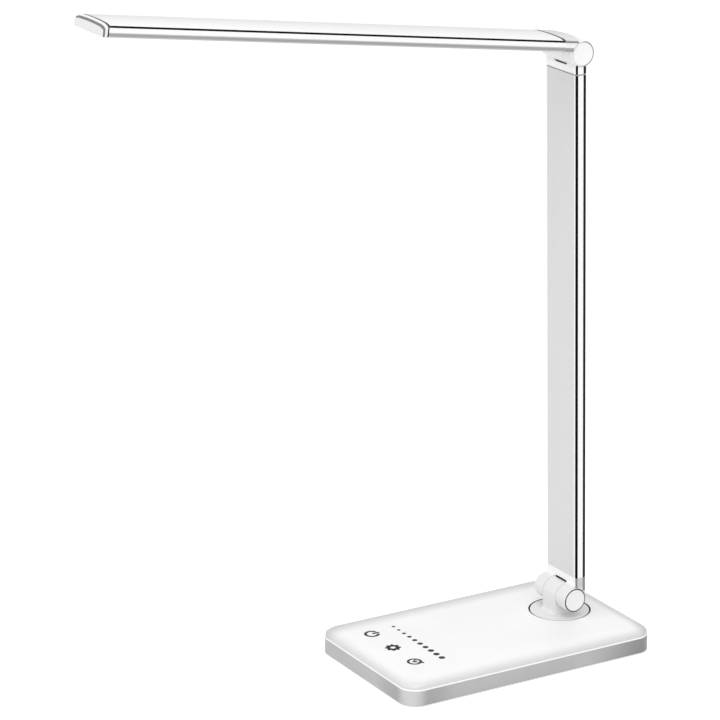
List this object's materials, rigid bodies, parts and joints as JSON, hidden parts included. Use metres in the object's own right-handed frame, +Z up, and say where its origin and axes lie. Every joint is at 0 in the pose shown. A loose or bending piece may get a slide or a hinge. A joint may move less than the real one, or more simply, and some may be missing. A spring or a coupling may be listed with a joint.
{
  "type": "folding led desk lamp",
  "caption": "Folding desk lamp: slab base with touch keys, a swivel foot, and a flat stem and flat lamp arm on two friction hinges.",
  "frame": {"origin": "on the desk surface, under the middle of the base, on the underside of the anti-slip pad", "axes": "+X along both hinge shafts, +Y towards the rear edge with the sockets, +Z up; the arm reaches towards -Y at rest"},
  "size_m": [0.1, 0.3262, 0.3972],
  "materials": {
    "pad_rubber": "matt moulded silicone",
    "white_plastic": "gloss white moulded plastic",
    "hinge_plastic": "satin off-white moulded plastic",
    "silver_plastic": "light silver painted plastic",
    "silver_paint": "fine-grain silver paint on plastic",
    "satin_aluminium": "satin anodised, bright-cut edges",
    "pearl_aluminium": "pearl white anodised, bright-cut edges",
    "milky_plastic": "milky diffusing sheet",
    "led_board_white": "white solder mask",
    "led_phosphor": "yellow phosphor",
    "plate_steel": "zinc-plated plate",
    "shaft_steel": "turned steel",
    "screw_steel": "nickel-plated steel",
    "brass_parts": "brass",
    "circuit_board": "green solder mask",
    "black_plastic": "matt black moulded plastic",
    "socket_plastic": "white moulded plastic",
    "wire_insulation": "red wire insulation"
  },
  "bodies": {
    "base": {"anti_slip_pad": "pad_rubber", "bottom_plate": "white_plastic", "base_screws": "screw_steel", "silver_band": "silver_paint", "base_cover": "white_plastic", "counterweight": "plate_steel", "touch_board": "circuit_board", "driver_board": "circuit_board", "board_screws": "screw_steel", "dc_jack": "black_plastic", "dc_jack_contact": "brass_parts", "usb_socket": "screw_steel", "usb_tongue": "socket_plastic", "base_wires": "wire_insulation"},
    "swivel": {"swivel_foot": "hinge_plastic", "swivel_washer": "screw_steel", "swivel_retainer": "plate_steel", "retainer_screws": "screw_steel"},
    "stem": {"lower_bracket": "hinge_plastic", "stem_tube": "satin_aluminium", "upper_bracket": "white_plastic", "bracket_screws": "screw_steel", "lower_shaft": "shaft_steel", "upper_shaft": "shaft_steel", "friction_washers": "brass_parts", "disc_springs": "shaft_steel", "shaft_nuts": "screw_steel", "lower_hinge_caps": "hinge_plastic", "upper_hinge_caps": "white_plastic", "stem_wires": "wire_insulation"},
    "arm": {"arm_bracket": "silver_plastic", "arm_shell": "pearl_aluminium", "arm_tip_cap": "silver_plastic", "diffuser": "milky_plastic", "led_board": "led_board_white", "led_chips": "led_phosphor", "arm_wires": "wire_insulation"}
  },
  "joints": [
    {"name": "base_swivel", "type": "hinge", "parent": "base", "child": "swivel", "pos_m": [0, 0.0505, 0.015], "axis": [0, 0, 1], "range_deg": [-45, 45]},
    {"name": "stem_fold", "type": "hinge", "parent": "swivel", "child": "stem", "pos_m": [0, 0.0505, 0.0257], "axis": [1, 0, 0], "range_deg": [-20, 88.7]},
    {"name": "arm_fold", "type": "hinge", "parent": "stem", "child": "arm", "pos_m": [0, 0.04819, 0.34773], "axis": [1, 0, 0], "range_deg": [-80.5, 98.7]}
  ]
}
